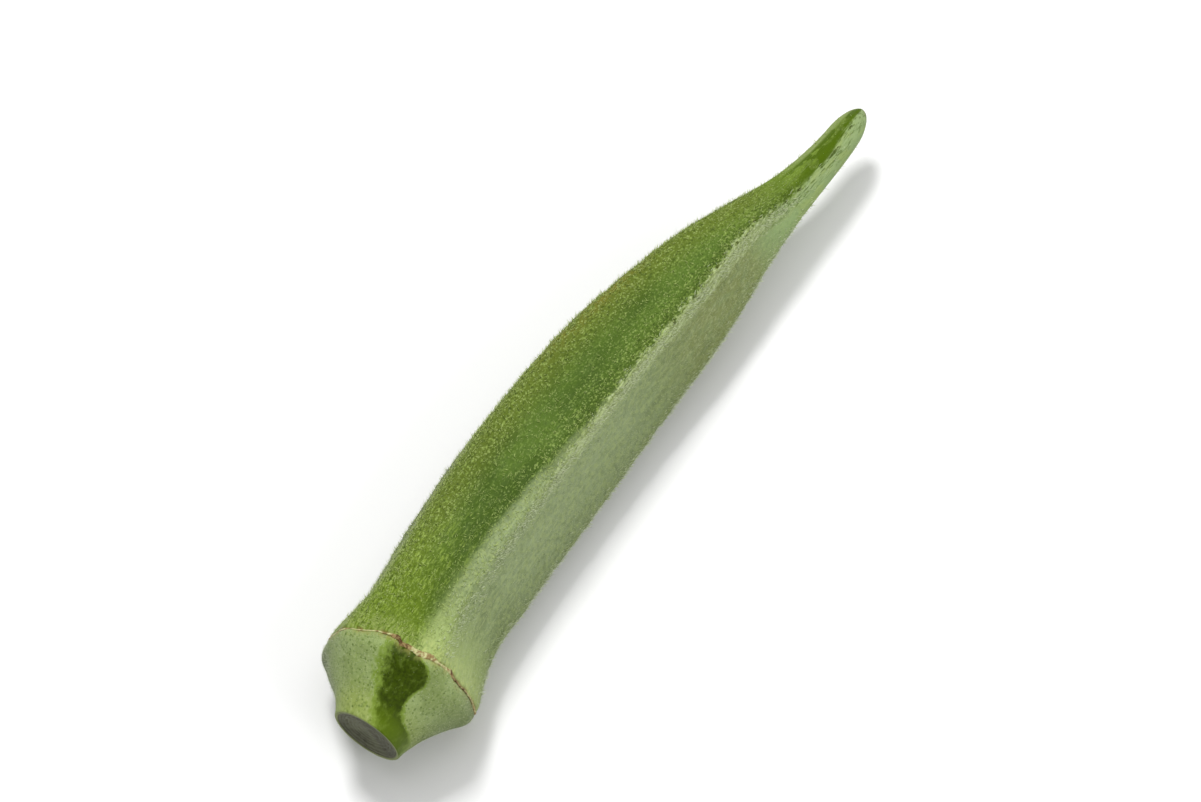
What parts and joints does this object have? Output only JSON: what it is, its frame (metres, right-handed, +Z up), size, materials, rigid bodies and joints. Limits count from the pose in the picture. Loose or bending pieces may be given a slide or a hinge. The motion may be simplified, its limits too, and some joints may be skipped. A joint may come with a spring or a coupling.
{
  "type": "okra pod",
  "caption": "Slender ridged green seed pod with a horn-like beak, a swollen stem end and a dried calyx scar, lying on its side.",
  "frame": {"origin": "on the surface that the pod lies on, under the centre of its bounding box", "axes": "+X along the pod from the cut stem to the beak, +Z up, +Y to the left when looking along +X"},
  "size_m": [0.125, 0.0254, 0.0216],
  "materials": {
    "pod_skin": "matt green velvet skin with pale ridges and fine white hairs",
    "stem_skin": "matt yellow-green skin with fine dark specks, grey-brown on the cut face",
    "dried_scar": "dry brown fibrous tissue"
  },
  "bodies": {
    "root": {"pod": "pod_skin", "stem_cap": "stem_skin", "calyx_scar": "dried_scar"}
  },
  "joints": []
}
